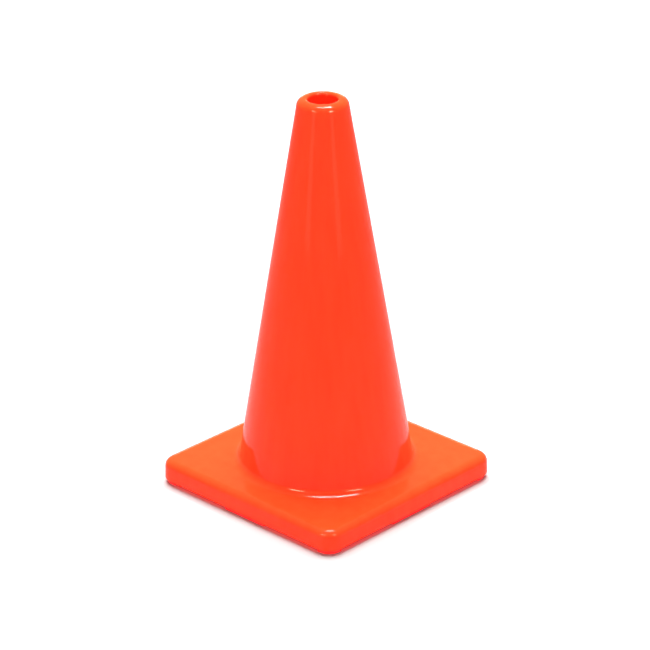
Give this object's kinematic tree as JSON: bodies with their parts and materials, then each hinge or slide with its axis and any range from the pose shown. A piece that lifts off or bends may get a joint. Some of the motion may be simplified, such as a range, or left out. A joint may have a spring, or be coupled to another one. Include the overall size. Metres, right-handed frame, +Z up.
{
  "type": "traffic cone",
  "caption": "Hollow tapered cone on a square rounded base, with a heavy slab inside the base and raised feet, used to mark off an area.",
  "frame": {"origin": "centre of the plane that the feet stand on, on the cone's axis", "axes": "+Z up along the cone's axis, X and Y square to the base's sides, -Y is the front"},
  "size_m": [0.268, 0.268, 0.4572],
  "materials": {
    "orange_pvc": "glossy flexible PVC",
    "ballast_pvc": "satin filled PVC",
    "foot_pvc": "satin soft PVC"
  },
  "bodies": {
    "root": {"cone_skin": "orange_pvc", "base_ballast": "ballast_pvc", "corner_foot_front_right": "foot_pvc", "corner_foot_back_right": "foot_pvc", "corner_foot_back_left": "foot_pvc", "corner_foot_front_left": "foot_pvc", "side_foot_front": "foot_pvc", "side_foot_right": "foot_pvc", "side_foot_back": "foot_pvc", "side_foot_left": "foot_pvc"}
  },
  "joints": []
}
